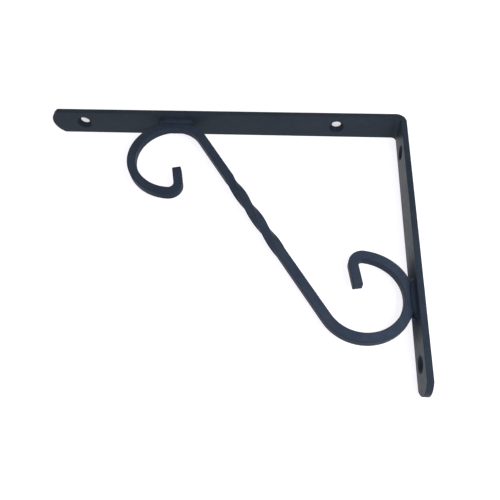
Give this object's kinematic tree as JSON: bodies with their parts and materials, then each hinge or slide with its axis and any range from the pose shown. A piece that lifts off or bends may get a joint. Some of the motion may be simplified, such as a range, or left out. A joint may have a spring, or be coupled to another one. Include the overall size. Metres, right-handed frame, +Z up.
{
  "type": "wrought iron shelf bracket",
  "caption": "Right-angled flat-bar shelf bracket with countersunk screw holes, braced by a square bar with a twisted middle and a curl at each end.",
  "frame": {"origin": "on the wall face, midway between the two screw holes of the leg and in the middle of the bar's width", "axes": "+Z up along the leg towards the shelf face, +X into the wall, so that the arm reaches out along -X; Y across the bar's width"},
  "size_m": [0.2, 0.016, 0.15],
  "materials": {
    "angle_bar": "satin blue-black paint",
    "scroll_bar": "satin blue-black paint",
    "arm_weld_front": "satin blue-black paint over weld bead",
    "arm_weld_back": "satin blue-black paint over weld bead",
    "leg_weld_front": "satin blue-black paint over weld bead",
    "leg_weld_back": "satin blue-black paint over weld bead"
  },
  "bodies": {
    "root": {"angle_bar": "angle_bar", "scroll_bar": "scroll_bar", "arm_weld_front": "arm_weld_front", "arm_weld_back": "arm_weld_back", "leg_weld_front": "leg_weld_front", "leg_weld_back": "leg_weld_back"}
  },
  "joints": []
}
